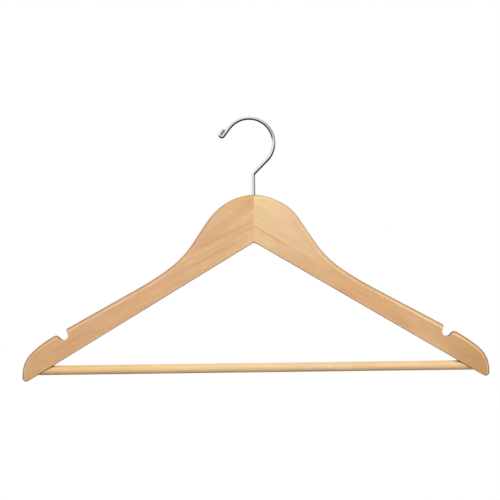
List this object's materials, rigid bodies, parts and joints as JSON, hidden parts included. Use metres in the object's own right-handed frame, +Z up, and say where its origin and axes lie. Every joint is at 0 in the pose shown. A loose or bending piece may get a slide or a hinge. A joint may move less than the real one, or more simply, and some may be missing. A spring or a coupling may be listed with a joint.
{
  "type": "clothes hanger",
  "caption": "Flat wooden clothes hanger with sloping strap-notched arms, a round trouser bar between their tips and a swivelling wire hook.",
  "frame": {"origin": "inside of the hook at its highest point, where it rests on a rail", "axes": "+X along the hanger's width, with the hook's mouth towards -X; the front faces -Y; +Z up. The shank and the arms' joint are at X = 3.8 mm"},
  "size_m": [0.445, 0.012, 0.2501],
  "materials": {
    "wood_left": "clear satin lacquer, warmer orange-tan wood",
    "wood_right": "clear satin lacquer, paler yellow wood",
    "wood_bar": "clear satin lacquer on a turned dowel",
    "hook_chrome": "bright plated wire",
    "zinc_steel": "bright zinc plate",
    "brad_steel": "bare wire brad"
  },
  "bodies": {
    "hook_group": {"hook": "hook_chrome", "thrust_washer": "zinc_steel", "lock_nut": "zinc_steel"},
    "wood_group": {"left_arm": "wood_left", "right_arm": "wood_right", "trouser_bar": "wood_bar", "left_bar_brad": "brad_steel", "right_bar_brad": "brad_steel"}
  },
  "joints": [
    {"name": "hook_swivel", "type": "hinge", "parent": "hook_group", "child": "wood_group", "pos_m": [0.0038, 0, -0.0716], "axis": [0, 0, 1], "continuous": true}
  ]
}
